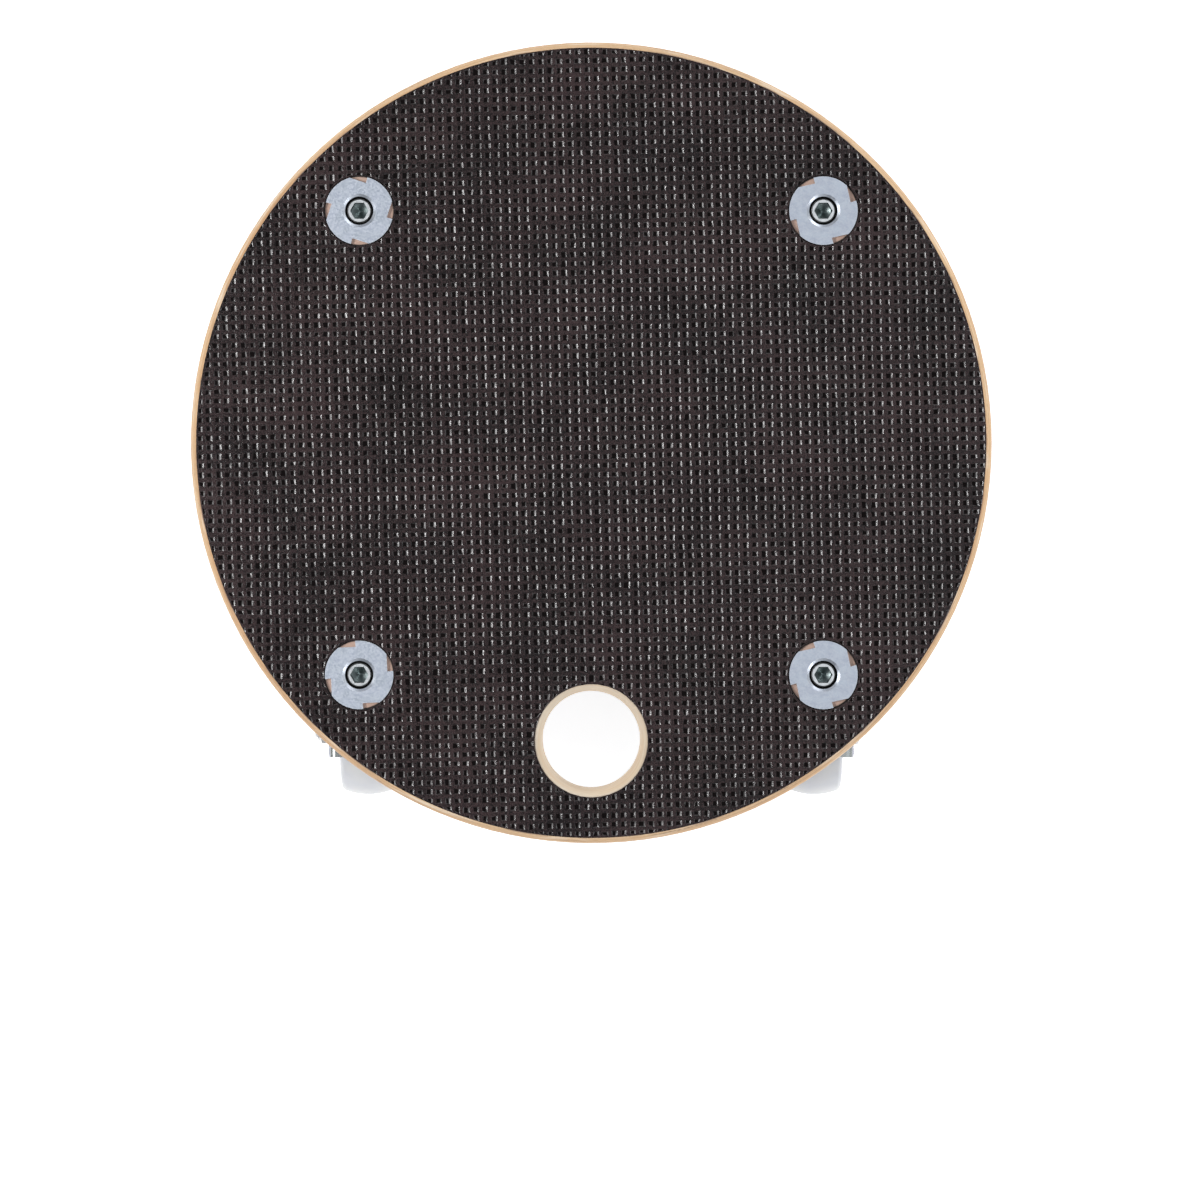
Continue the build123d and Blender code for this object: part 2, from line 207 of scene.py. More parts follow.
def buildGrain():
    group, start, end = shaderGroup("grain", [("Vector", "NodeSocketVector", None),
                                              ("Size", "NodeSocketFloat", 0.0005),
                                              ("Detail", "NodeSocketFloat", 2.0)],
                                    [("Value", "NodeSocketFloat")])
    scale = calc(group, "DIVIDE", 1.0, start["Size"])
    values = {"Vector": start["Vector"], "Scale": scale, "Detail": start["Detail"]}
    group.links.new(add(group, "ShaderNodeTexNoise", values).outputs["Fac"], end["Value"])
    return group


def buildScuffs():
    # flecks as small as Size, gathered in patches as large as Patch
    group, start, end = shaderGroup("scuffs", [("Vector", "NodeSocketVector", None),
                                               ("Size", "NodeSocketFloat", 0.0006),
                                               ("Patch", "NodeSocketFloat", 0.006),
                                               ("Cover", "NodeSocketFloat", 0.5)],
                                    [("Sparkle", "NodeSocketFloat"), ("Mask", "NodeSocketFloat")])
    cell = calc(group, "DIVIDE", 1.0, start["Size"])
    cells = add(group, "ShaderNodeTexVoronoi", {"Vector": start["Vector"], "Scale": cell, "Randomness": 1.0})
    tone = add(group, "ShaderNodeSeparateColor", {"Color": cells.outputs["Color"]}).outputs[0]
    patchScale = calc(group, "DIVIDE", 1.0, start["Patch"])
    patch = add(group, "ShaderNodeTexNoise", {"Vector": start["Vector"], "Scale": patchScale, "Detail": 4.0})
    edge = calc(group, "SUBTRACT", 1.0, start["Cover"])
    low = calc(group, "SUBTRACT", edge, 0.12)
    high = calc(group, "ADD", edge, 0.12)
    mask = fit(group, patch.outputs["Fac"], low, high)
    group.links.new(tone, end["Sparkle"])
    group.links.new(mask, end["Mask"])
    return group


casterPlace = buildCasterPlace()
edgeWear = buildEdgeWear()
grain = buildGrain()
scuffs = buildScuffs()


film = {
    "cells": 88, "pitch": 0.00343, "turn": math.radians(1.4),
    "seatRadius": 0.0132, "mouthRadius": 0.0211, "snap": 0.3,
    "pitWidth": 0.64, "pitHeight": 0.60,  # shares of a cell
    "floorWidth": 0.58, "floorHeight": 0.78,  # shares of the pit's mouth
    "depth": 0.0003, "lean": -0.00024, "wobble": 0.00015, "sizeSpread": 0.14, "seed": 11,
    # pitShade is the painted shade colour of the pits' walls and floors
    "ridge": (0.0038, 0.0016, 0.0016), "ridgeLight": (0.042, 0.024, 0.024), "pitShade": (0.0030, 0.0016, 0.0016),
    "rough": 0.22, "wallRough": 0.20, "dullWallRough": 0.40, "pitRough": 0.60,
    "gloss": 0.32, "wallGloss": 1.0, "pitGloss": 0.08,
    "grain": 0.00045, "grainBump": 0.9, "grainDepth": 0.00012, "cloud": 0.03, "cloudShare": 0.4,
    "polish": 0.0035, "pitGrain": 0.0006,
}


def buildFilmRelief():
    number, vector = "NodeSocketFloat", "NodeSocketVector"
    tree, start, end = newTree("filmRelief", "GeometryNodeTree", [
        ("Geometry", "NodeSocketGeometry", None), ("Cells", "NodeSocketInt", 80), ("Pitch", number, 0.003),
        ("Turn", number, 0.0), ("Top", number, 0.0), ("Film Radius", number, 0.15), ("Pin", number, 0.09),
        ("Seat Radius", number, 0.013), ("Hole Centre", vector, (0, 0, 0)), ("Hole Radius", number, 0.02),
        ("Snap", number, 0.3), ("Pit Width", number, 0.6), ("Pit Height", number, 0.6),
        ("Floor Width", number, 0.5), ("Floor Height", number, 0.8), ("Depth", number, 0.0003),
        ("Lean", number, 0.0), ("Wobble", number, 0.0001), ("Size Spread", number, 0.1),
        ("Seed", "NodeSocketInt", 1), ("Ridge Finish", "NodeSocketMaterial", None),
        ("Wall Finish", "NodeSocketMaterial", None), ("Pit Finish", "NodeSocketMaterial", None),
    ], [("Geometry", "NodeSocketGeometry")])

    def both(a, b):
        return add(tree, "FunctionNodeBooleanMath", {0: a, 1: b}, operation="OR").outputs[0]

    def vec(operation, a, b=(0, 0, 0)):
        return add(tree, "ShaderNodeVectorMath", {0: a, 1: b}, operation=operation).outputs

    def combine(x, y, z):
        return add(tree, "ShaderNodeCombineXYZ", {"X": x, "Y": y, "Z": z}).outputs[0]

    def scaled(v, factor):
        return add(tree, "ShaderNodeVectorMath", {0: v, "Scale": factor}, operation="SCALE").outputs[0]

    # one flat quad for each cell, turned a little on the board
    side = calc(tree, "MULTIPLY", start["Cells"], start["Pitch"])
    count = calc(tree, "ADD", start["Cells"], 1.0)
    sheet = add(tree, "GeometryNodeMeshGrid", {"Size X": side, "Size Y": side, "Vertices X": count,
                                               "Vertices Y": count}).outputs["Mesh"]
    values = {"Geometry": sheet, "Translation": combine(0.0, 0.0, start["Top"]),
              "Rotation": combine(0.0, 0.0, start["Turn"])}
    sheet = add(tree, "GeometryNodeTransform", values).outputs[0]

    # how far each point is from the rim, the nearest tee nut and the hand hole
    position = add(tree, "GeometryNodeInputPosition").outputs[0]
    x, y, z = add(tree, "ShaderNodeSeparateXYZ", {"Vector": position}).outputs
    flat = combine(x, y, 0.0)
    reach = vec("LENGTH", flat)["Value"]
    band = calc(tree, "MULTIPLY", start["Snap"], start["Pitch"])
    rimFlag = calc(tree, "GREATER_THAN", reach, calc(tree, "SUBTRACT", start["Film Radius"], band))
    toRim = calc(tree, "DIVIDE", start["Film Radius"], reach)
    onRim = combine(calc(tree, "MULTIPLY", x, toRim), calc(tree, "MULTIPLY", y, toRim), z)

    signs = combine(calc(tree, "SIGN", x), calc(tree, "SIGN", y), 0.0)
    pin = scaled(signs, start["Pin"])
    fromPin = vec("SUBTRACT", flat, pin)[0]
    pinReach = vec("LENGTH", fromPin)["Value"]
    seatFlag = calc(tree, "LESS_THAN", pinReach, calc(tree, "ADD", start["Seat Radius"], band))
    seatShare = calc(tree, "DIVIDE", start["Seat Radius"], pinReach)
    onSeat = vec("ADD", vec("ADD", pin, scaled(fromPin, seatShare))[0], combine(0.0, 0.0, z))[0]

    fromHole = vec("SUBTRACT", flat, start["Hole Centre"])[0]
    holeReach = vec("LENGTH", fromHole)["Value"]
    holeFlag = calc(tree, "LESS_THAN", holeReach, calc(tree, "ADD", start["Hole Radius"], band))
    holeShare = calc(tree, "DIVIDE", start["Hole Radius"], holeReach)
    onHole = vec("ADD", start["Hole Centre"], scaled(fromHole, holeShare))[0]
    onHole = vec("ADD", onHole, combine(0.0, 0.0, z))[0]

    # cells wholly past an edge go, and the points beside it are drawn onto it
    anyFlag = both(both(rimFlag, seatFlag), holeFlag)
    share = add(tree, "GeometryNodeFieldOnDomain", {0: anyFlag}, data_type="FLOAT", domain="POINT")
    values = {"Geometry": sheet, "Selection": calc(tree, "GREATER_THAN", share.outputs[0], 0.99)}
    sheet = add(tree, "GeometryNodeDeleteGeometry", values, domain="FACE").outputs[0]
    for flag, target in ((rimFlag, onRim), (seatFlag, onSeat), (holeFlag, onHole)):
        sheet = add(tree, "GeometryNodeSetPosition", {"Geometry": sheet, "Selection": flag,
                                                      "Position": target}).outputs[0]

    # a cut cell gets a smaller and shallower pit
    area = add(tree, "GeometryNodeInputMeshFaceArea").outputs[0]
    fullArea = calc(tree, "MULTIPLY", start["Pitch"], start["Pitch"])
    size = calc(tree, "MINIMUM", calc(tree, "DIVIDE", area, fullArea), 1.0)
    values = {"Geometry": sheet, "Name": "cellShare", "Value": size}
    sheet = add(tree, "GeometryNodeStoreNamedAttribute", values, data_type="FLOAT", domain="FACE").outputs[0]
    values = {"Name": "cellShare"}
    cellShare = add(tree, "GeometryNodeInputNamedAttribute", values, data_type="FLOAT").outputs[0]

    def jitter(spread, offset):
        seed = calc(tree, "ADD", start["Seed"], float(offset))
        low = scaled(spread, -1.0)
        return add(tree, "FunctionNodeRandomValue", {"Min": low, "Max": spread, "Seed": seed},
                   data_type="FLOAT_VECTOR").outputs[0]

    def sized(share, offset):
        seed = calc(tree, "ADD", start["Seed"], float(offset))
        low = calc(tree, "SUBTRACT", 1.0, start["Size Spread"])
        high = calc(tree, "ADD", 1.0, start["Size Spread"])
        random = add(tree, "FunctionNodeRandomValue", {"Min": low, "Max": high, "Seed": seed},
                     data_type="FLOAT").outputs[1]
        return calc(tree, "MULTIPLY", share, random)

    def inset(mesh, selection, wide, tall, drop, spread, offset):
        values = {"Mesh": mesh, "Offset Scale": 0.0, "Individual": True}
        if selection is not None:
            values["Selection"] = selection
        made = add(tree, "GeometryNodeExtrudeMesh", values, mode="FACES").outputs
        mesh, top = made["Mesh"], made["Top"]
        for axis, factor, step in (((1, 0, 0), wide, 1), ((0, 1, 0), tall, 2)):
            values = {"Geometry": mesh, "Selection": top, "Axis": axis,
                      "Scale": sized(factor, offset + step)}
            mesh = add(tree, "GeometryNodeScaleElements", values, domain="FACE",
                       scale_mode="SINGLE_AXIS").outputs[0]
        shift = scaled(vec("ADD", drop, jitter(spread, offset))[0], cellShare)
        values = {"Geometry": mesh, "Selection": top, "Offset": shift}
        return add(tree, "GeometryNodeSetPosition", values).outputs[0], made["Side"], top

    wobbleFlat = combine(start["Wobble"], start["Wobble"], 0.0)
    wobbleAll = combine(start["Wobble"], start["Wobble"], calc(tree, "MULTIPLY", start["Wobble"], 0.5))
    sheet, _, mouth = inset(sheet, None, start["Pit Width"], start["Pit Height"], (0, 0, 0), wobbleFlat, 10)
    sink = combine(start["Lean"], 0.0, calc(tree, "MULTIPLY", start["Depth"], -1.0))
    width, height = start["Floor Width"], start["Floor Height"]
    sheet, wall, bottom = inset(sheet, mouth, width, height, sink, wobbleAll, 20)

    sheet = add(tree, "GeometryNodeRealizeInstances", {"Geometry": sheet}).outputs[0]
    for selection, finish in ((True, "Ridge Finish"), (wall, "Wall Finish"), (bottom, "Pit Finish")):
        values = {"Geometry": sheet, "Selection": selection, "Material": start[finish]}
        sheet = add(tree, "GeometryNodeSetMaterial", values).outputs[0]
    tree.links.new(sheet, end["Geometry"])
    return tree


def filmTone(tree, at):
    # brown resin, clouded and finely grained
    fine = place(tree, grain, {"Vector": at, "Size": film["grain"], "Detail": 3.0})["Value"]
    cloud = place(tree, grain, {"Vector": at, "Size": film["cloud"], "Detail": 2.0})["Value"]
    mixed = calc(tree, "ADD", fine, calc(tree, "MULTIPLY", cloud, film["cloudShare"]))
    return fine, mixColour(tree, fit(tree, mixed, 0.58, 0.84), film["ridge"], film["ridgeLight"])


def ridgeMaterial():
    material, tree, shader = newMaterial("filmRidge", Specular_IOR_Level=film["gloss"])
    fine, colour = filmTone(tree, objectPlace(tree))
    rough = fit(tree, fine, 0.2, 0.8, film["rough"] - 0.06, film["rough"] + 0.10)
    normal = bump(tree, fine, film["grainBump"], film["grainDepth"])
    wire(tree, shader, Base_Color=colour, Roughness=rough, Normal=normal)
    return material


def wallMaterial():
    # some walls are polished and flash, others stay dull, and all are painted darker downwards, painted
    # shade in the pits
    material, tree, shader = newMaterial("filmWall", Specular_IOR_Level=film["wallGloss"])
    at = objectPlace(tree)
    fine, colour = filmTone(tree, at)
    z = add(tree, "ShaderNodeSeparateXYZ", {"Vector": at}).outputs["Z"]
    # painted shade: the wall's colour darkens towards the pit's floor
    low = fit(tree, z, deckZ - film["depth"] * 0.45, deckZ - film["depth"] * 0.9)
    polish = place(tree, grain, {"Vector": at, "Size": film["polish"], "Detail": 2.0})["Value"]
    rough = fit(tree, polish, 0.35, 0.60, film["dullWallRough"], film["wallRough"])
    rough = calc(tree, "ADD", rough, calc(tree, "MULTIPLY", low, film["pitRough"] - film["wallRough"]))
    normal = bump(tree, fine, film["grainBump"], film["grainDepth"])
    wire(tree, shader, Base_Color=mixColour(tree, low, colour, film["pitShade"]), Roughness=rough, Normal=normal)
    return material


def pitMaterial():
    # dull bottoms of the pressed pits, painted dark as shade
    material, tree, shader = newMaterial("filmPit", Specular_IOR_Level=film["pitGloss"])
    at = objectPlace(tree)
    fine = place(tree, grain, {"Vector": at, "Size": film["pitGrain"], "Detail": 2.0})["Value"]
    colour = mixColour(tree, fit(tree, fine, 0.45, 0.75), film["pitShade"], film["ridge"])
    rough = fit(tree, fine, 0.2, 0.8, film["pitRough"], film["pitRough"] + 0.25)
    wire(tree, shader, Base_Color=colour, Roughness=rough)
    return material


def closeSheet(mesh, floorZ):
    # walls from every open edge down to the board, and a flat underside
    shell = bmesh.new()
    shell.from_mesh(mesh)
    bmesh.ops.remove_doubles(shell, verts=shell.verts, dist=1e-7)
    bmesh.ops.dissolve_degenerate(shell, edges=shell.edges, dist=1e-6)
    rim = [e for e in shell.edges if len(e.link_faces) == 1]
    made = bmesh.ops.extrude_edge_only(shell, edges=rim)["geom"]
    for v in (g for g in made if isinstance(g, bmesh.types.BMVert)):
        v.co.z = floorZ
    lower = [g for g in made if isinstance(g, bmesh.types.BMEdge)]
    bmesh.ops.triangle_fill(shell, edges=lower, use_beauty=True, normal=(0, 0, -1))
    bmesh.ops.recalc_face_normals(shell, faces=shell.faces)
    shell.to_mesh(mesh)
    shell.free()


def buildFilm(ridge):
    carrier = bpy.data.objects.new("film_face", bpy.data.meshes.new("film_face"))
    scene.collection.objects.link(carrier)
    tree = buildFilmRelief()
    relief = carrier.modifiers.new("relief", "NODES")
    relief.node_group = tree
    values = {
        "Cells": film["cells"], "Pitch": film["pitch"], "Turn": film["turn"], "Top": deckZ,
        "Film Radius": filmRadius, "Pin": pinOffset, "Seat Radius": film["seatRadius"],
        "Hole Centre": holeCentre, "Hole Radius": film["mouthRadius"], "Snap": film["snap"],
        "Pit Width": film["pitWidth"], "Pit Height": film["pitHeight"], "Floor Width": film["floorWidth"],
        "Floor Height": film["floorHeight"], "Depth": film["depth"], "Lean": film["lean"],
        "Wobble": film["wobble"], "Size Spread": film["sizeSpread"], "Seed": film["seed"],
        "Ridge Finish": ridge, "Wall Finish": wallMaterial(), "Pit Finish": pitMaterial(),
    }
    for item in tree.interface.items_tree:
        if item.in_out == "INPUT" and item.name in values:
            relief[item.identifier] = values[item.name]
    graph = bpy.context.evaluated_depsgraph_get()
    made = bpy.data.meshes.new_from_object(carrier.evaluated_get(graph), depsgraph=graph)
    carrier.modifiers.clear()
    closeSheet(made, filmLow.z)
    carrier.data = made
    if "cellShare" in made.attributes:
        made.attributes.remove(made.attributes["cellShare"])
    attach(carrier, "deck")
    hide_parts("top_film")
    print("film relief:", len(made.polygons), "faces")


wood = {
    "pale": (0.70, 0.49, 0.28), "tan": (0.56, 0.34, 0.16), "orange": (0.46, 0.22, 0.075),
    "brown": (0.12, 0.055, 0.035), "cream": (0.78, 0.70, 0.58), "white": (0.80, 0.68, 0.52),
    # slitShade is the painted shade in the slit round the tee nuts
    "pink": (0.62, 0.42, 0.33), "slitShade": (0.012, 0.009, 0.008),
    "streak": (0.030, 0.0011), "plies": 13, "rough": 0.55,
    "smear": 0.0011,  # width of the film smeared over the rim's corners
    "seatDepth": 0.0020, "holeWall": 0.001,
}


def woodMaterial():
    material, tree, shader = newMaterial("plywoodEdge", Specular_IOR_Level=0.35)
    at = objectPlace(tree)
    x, y, z = add(tree, "ShaderNodeSeparateXYZ", {"Vector": at}).outputs
    long, thin = wood["streak"]
    streaky = stretched(tree, at, (1 / long, 1 / long, 1 / thin))
    broad = noise(tree, streaky, 1.0, 4.0, 0.6, 0.6)
    bands = noise(tree, stretched(tree, at, (6, 6, 420)), 1.0, 2.0)
    knots = noise(tree, stretched(tree, at, (28, 28, 900), (3, 1, 7)), 1.0, 5.0, 0.65, 0.8)
    pores = noise(tree, stretched(tree, at, (900, 900, 2600)), 1.0, 2.0)
    colour = mixColour(tree, fit(tree, broad, 0.30, 0.66), wood["pale"], wood["tan"])
    colour = mixColour(tree, fit(tree, bands, 0.50, 0.78, 0.0, 0.75), colour, wood["orange"])
    # alternate plies show end grain, a little darker and dotted
    plyPitch = (boardHigh.z - boardLow.z) / wood["plies"]
    ply = calc(tree, "FRACT", calc(tree, "DIVIDE", calc(tree, "SUBTRACT", z, boardLow.z), 2 * plyPitch))
    endGrain = calc(tree, "MULTIPLY", calc(tree, "GREATER_THAN", ply, 0.5), fit(tree, pores, 0.45, 0.62))
    colour = mixColour(tree, calc(tree, "MULTIPLY", endGrain, 0.22), colour, wood["orange"])
    glue = calc(tree, "PINGPONG", ply, 0.25)
    glueLine = calc(tree, "MULTIPLY", fit(tree, glue, 0.03, 0.0), fit(tree, broad, 0.4, 0.7))
    colour = mixColour(tree, calc(tree, "MULTIPLY", glueLine, 0.35), colour, wood["brown"])
    blots = noise(tree, stretched(tree, at, (40, 40, 300), (9, 2, 4)), 1.0, 3.0)
    colour = mixColour(tree, fit(tree, blots, 0.56, 0.68, 0.0, 0.65), colour, wood["white"])
    dark = calc(tree, "MULTIPLY", fit(tree, knots, 0.58, 0.70), fit(tree, pores, 0.30, 0.55))
    colour = mixColour(tree, calc(tree, "MULTIPLY", dark, 0.9), colour, wood["brown"])
    # film smeared over the two corners of the rim
    middle = (boardHigh.z + boardLow.z) / 2
    height = calc(tree, "ABSOLUTE", calc(tree, "SUBTRACT", z, middle))
    edge = fit(tree, height, boardHigh.z - middle - wood["smear"], boardHigh.z - middle - 0.0002)
    smear = calc(tree, "MULTIPLY", edge, fit(tree, noise(tree, at, 0.018, 4.0), 0.50, 0.60))
    colour = mixColour(tree, calc(tree, "MULTIPLY", smear, 0.8), colour, wood["brown"])
    girth = fit(tree, height, 0.0062, 0.0015, 0.0, 0.55)
    girth = calc(tree, "MULTIPLY", girth, fit(tree, bands, 0.30, 0.60))
    colour = mixColour(tree, girth, colour, wood["orange"])
    # the hand hole's wall is freshly cut and pale
    spot = distance(tree, add(tree, "ShaderNodeCombineXYZ", {"X": x, "Y": y}).outputs[0], holeCentre)
    outside = film["mouthRadius"] + wood["holeWall"]
    inHole = fit(tree, spot, outside + 0.001, outside)
    pale = mixColour(tree, fit(tree, broad, 0.35, 0.7, 0.0, 0.6), wood["cream"], wood["pale"])
    colour = mixColour(tree, calc(tree, "MULTIPLY", inHole, 0.85), colour, pale)
    # round the tee nuts the seat's slit is painted dark as shade, and bare wood shows in the notches
    nut = place(tree, casterPlace, {"Pin": pinOffset})["Reach"]
    inSeat = calc(tree, "MULTIPLY", fit(tree, nut, film["seatRadius"] + 0.0008, film["seatRadius"] + 0.0005),
                  fit(tree, z, deckZ - wood["seatDepth"] - 0.0006, deckZ - wood["seatDepth"]))
    slitShadeMask = fit(tree, nut, film["seatRadius"] - 0.0008, film["seatRadius"] - 0.0004)
    colour = mixColour(tree, inSeat, colour, wood["pink"])
    colour = mixColour(tree, calc(tree, "MULTIPLY", inSeat, slitShadeMask), colour, wood["slitShade"])
    height = calc(tree, "ADD", calc(tree, "MULTIPLY", broad, 0.6), calc(tree, "MULTIPLY", pores, 0.4))
    rough = fit(tree, pores, 0.2, 0.8, wood["rough"] - 0.1, wood["rough"] + 0.1)
    wire(tree, shader, Base_Color=colour, Roughness=rough, Normal=bump(tree, height, 0.4, 0.00015))
    return material


zincLooks = {
    "teeNutZinc": {"base": (0.60, 0.66, 0.74), "second": (0.52, 0.57, 0.66), "rough": 0.30, "size": 0.0005,
                   "patch": 0.004, "cover": 0.5, "sparkle": 0.25, "bump": 0.15, "wear": (0.90, 0.92, 0.94),
                   "thread": (0.0045, 0.0053)},
    "domeZinc": {"base": (0.36, 0.37, 0.39), "second": (0.46, 0.46, 0.46), "rough": 0.26, "size": 0.0004,
                 "patch": 0.008, "cover": 0.45, "sparkle": 0.2, "bump": 0.1, "wear": (0.95, 0.95, 0.92),
                 "wearWidth": 0.0004},
    "boltZinc": {"base": (0.70, 0.70, 0.68), "second": (0.56, 0.56, 0.55), "rough": 0.34, "size": 0.0005,
                 "patch": 0.003, "cover": 0.55, "sparkle": 0.5, "bump": 0.3, "wear": (0.95, 0.95, 0.92),
                 "face": 0.0045, "faceTone": (0.62, 0.62, 0.63)},
    "stemSteel": {"base": (0.86, 0.88, 0.88), "second": (0.70, 0.73, 0.73), "rough": 0.26, "size": 0.0004,
                  "patch": 0.002, "cover": 0.5, "sparkle": 0.3, "bump": 0.15, "wear": (0.96, 0.97, 0.96),
                  "thread": (0.0045, 0.0060), "socket": 0.0033, "socketShade": (0.22, 0.26, 0.26)},
    "raceSteel": {"base": (0.42, 0.43, 0.44), "second": (0.32, 0.33, 0.34), "rough": 0.35, "size": 0.0005,
                  "patch": 0.003, "cover": 0.5, "sparkle": 0.3, "bump": 0.2, "wear": (0.7, 0.7, 0.7)},
}


zinc = {
    # oil is the painted shade in the gap round the stem
    "glint": (0.88, 0.88, 0.90), "oil": (0.010, 0.010, 0.010), "wearWidth": 0.00025,
    "oilDepth": 0.0004, "wellDepth": 0.0011,  # both from the deck down
}


def zincMaterial(name):
    look = zincLooks[name]
    material, tree, shader = newMaterial(name, Metallic=1.0)
    put = place(tree, casterPlace, {"Pin": pinOffset})
    at = put["Vector"]
    marks = place(tree, scuffs, {"Vector": at, "Size": look["size"], "Patch": look["patch"],
                                 "Cover": look["cover"]})
    worn = place(tree, edgeWear, {"Width": look.get("wearWidth", zinc["wearWidth"]), "Gain": 4.0})["Mask"]
    fine = place(tree, grain, {"Vector": at, "Size": look["size"] * 0.6, "Detail": 2.0})["Value"]
    colour = mixColour(tree, marks["Mask"], look["base"], look["second"])
    glint = calc(tree, "MULTIPLY", marks["Sparkle"], look["sparkle"])
    colour = mixColour(tree, glint, colour, zinc["glint"])
    colour = mixColour(tree, worn, colour, look["wear"])
    rough = calc(tree, "ADD", fit(tree, marks["Sparkle"], 0.0, 1.0, look["rough"], look["rough"] + 0.12),
                 calc(tree, "MULTIPLY", marks["Mask"], 0.06))
    if "socket" in look:
        # painted shade: the socket's depth is painted dull, dark and a little green
        inner = fit(tree, put["Reach"], look["socket"] + 0.0004, look["socket"] + 0.0002)
        deep = fit(tree, put["Height"], deckZ - zinc["wellDepth"], deckZ - zinc["wellDepth"] - 0.0005)
        wellShade = calc(tree, "MULTIPLY", inner, deep)
        colour = mixColour(tree, wellShade, colour, look["socketShade"])
    if "thread" in look:
        # painted shade: a black ring in the gap between the nut and the stem
        low, high = look["thread"]
        gapShade = calc(tree, "MULTIPLY", band(tree, put["Reach"], low, high, 0.00008),
                    fit(tree, put["Height"], deckZ - zinc["oilDepth"], deckZ - zinc["oilDepth"] - 0.0003))
        colour = mixColour(tree, gapShade, colour, zinc["oil"])
        rough = calc(tree, "ADD", rough, calc(tree, "MULTIPLY", gapShade, 0.4))
    if "face" in look:
        # the head's end face is darker and finely knurled inside its bright bevel
        centred = stretched(tree, at, (0, 1, 1), (0, -axleY, -axleZ))
        spread = add(tree, "ShaderNodeVectorMath", {0: centred}, operation="LENGTH").outputs["Value"]
        inside = calc(tree, "MULTIPLY", fit(tree, spread, look["face"], look["face"] - 0.0003),
                      fit(tree, fine, 0.30, 0.62, 0.55, 1.0))
        colour = mixColour(tree, inside, colour, look["faceTone"])
    wire(tree, shader, Base_Color=colour, Roughness=rough, Normal=bump(tree, fine, look["bump"], 0.00006))
    return material


forkLook = {
    "smooth": (0.46, 0.49, 0.46), "violet": (0.44, 0.44, 0.54), "dark": (0.13, 0.13, 0.18),
    "light": (0.90, 0.90, 0.94), "cream": (0.97, 0.96, 0.90), "rough": 0.24,
    "flatStart": -0.0150, "flatEnd": -0.0122,  # the scuffed front panel ends at the joggle
    "strip": (-0.0098, -0.0066), "rearShadeStrip": (-0.0012, 0.0016),  # rough strips down the leg; the rear one is a painted dark reflection band
    "front": 0.0070,  # the legs' front edge, ahead of the axle
    "headFoot": 0.0090,  # from the fork's top down to the foot of its round head
}


def forkMaterial():
    material, tree, shader = newMaterial("forkZinc", Metallic=1.0)
    put = place(tree, casterPlace, {"Pin": pinOffset})
    at = put["Vector"]
    y = add(tree, "ShaderNodeSeparateXYZ", {"Vector": at}).outputs["Y"]
    waver = calc(tree, "MULTIPLY", calc(tree, "SUBTRACT", noise(tree, at, 0.006, 3.0), 0.5), 0.0018)
    along = calc(tree, "ADD", y, waver)
    below = fit(tree, put["Height"], forkTop - forkLook["headFoot"] + 0.0005,
                forkTop - forkLook["headFoot"] - 0.0005)  # under the round head
    panel = calc(tree, "MULTIPLY", fit(tree, along, forkLook["flatEnd"], forkLook["flatStart"]), below)
    fleck = place(tree, scuffs, {"Vector": at, "Size": 0.00055, "Patch": 0.007, "Cover": 0.52})
    small = place(tree, scuffs, {"Vector": at, "Size": 0.00028, "Patch": 0.0035, "Cover": 0.5})
    # the front strip is rough and scuffed; the rear strip is a painted dark reflection band where the leg
    # starts to curve
    stripsAndShade = calc(tree, "ADD", band(tree, along, *forkLook["strip"], 0.0005),
                  band(tree, along, *forkLook["rearShadeStrip"], 0.0004), clamp=True)
    stripsAndShade = calc(tree, "MULTIPLY", calc(tree, "MULTIPLY", stripsAndShade, below),
                  fit(tree, noise(tree, at, 0.0012, 4.0, 0.7), 0.36, 0.56))
    streaks = noise(tree, stretched(tree, at, (1600, 1600, 90)), 1.0, 3.0)
    streaks = fit(tree, streaks, 0.3, 0.75, 0.0, 0.35)
    colour = mixColour(tree, streaks, forkLook["smooth"], forkLook["violet"])
    flecks = calc(tree, "MULTIPLY", fleck["Mask"], 0.6)
    scuffed = mixColour(tree, flecks, forkLook["violet"], forkLook["dark"])
    scuffed = mixColour(tree, fit(tree, small["Sparkle"], 0.30, 0.05, 0.0, 0.55), scuffed, forkLook["dark"])
    scuffed = mixColour(tree, fit(tree, small["Sparkle"], 0.76, 0.98), scuffed, forkLook["light"])
    colour = mixColour(tree, panel, colour, scuffed)
    colour = mixColour(tree, calc(tree, "MULTIPLY", stripsAndShade, 0.85), colour, forkLook["dark"])
    # sheared edges all round the pressing are bare and bright
    worn = place(tree, edgeWear, {"Width": 0.0004, "Gain": 5.0})["Mask"]
    facing = add(tree, "ShaderNodeTexCoord").outputs["Normal"]
    normal = add(tree, "ShaderNodeSeparateXYZ", {"Vector": facing}).outputs
    sheared = calc(tree, "MULTIPLY", fit(tree, normal["Y"], -0.85, -0.95),
                   fit(tree, y, axleY - forkLook["front"] + 0.001, axleY - forkLook["front"]))
    under = calc(tree, "MULTIPLY", fit(tree, normal["Z"], -0.1, -0.25), below)
    sheared = calc(tree, "MAXIMUM", sheared, under)
    worn = calc(tree, "MAXIMUM", worn, sheared)
    colour = mixColour(tree, worn, colour, forkLook["cream"])
    marked = calc(tree, "ADD", panel, stripsAndShade, clamp=True)
    rough = calc(tree, "ADD", forkLook["rough"], calc(tree, "MULTIPLY", marked, 0.16))
    rough = calc(tree, "ADD", rough, calc(tree, "MULTIPLY", small["Sparkle"], 0.08))
    relief = calc(tree, "MULTIPLY", small["Sparkle"], calc(tree, "ADD", marked, 0.08))
    wire(tree, shader, Base_Color=colour, Roughness=rough, Normal=bump(tree, relief, 0.4, 0.00006))
    return material


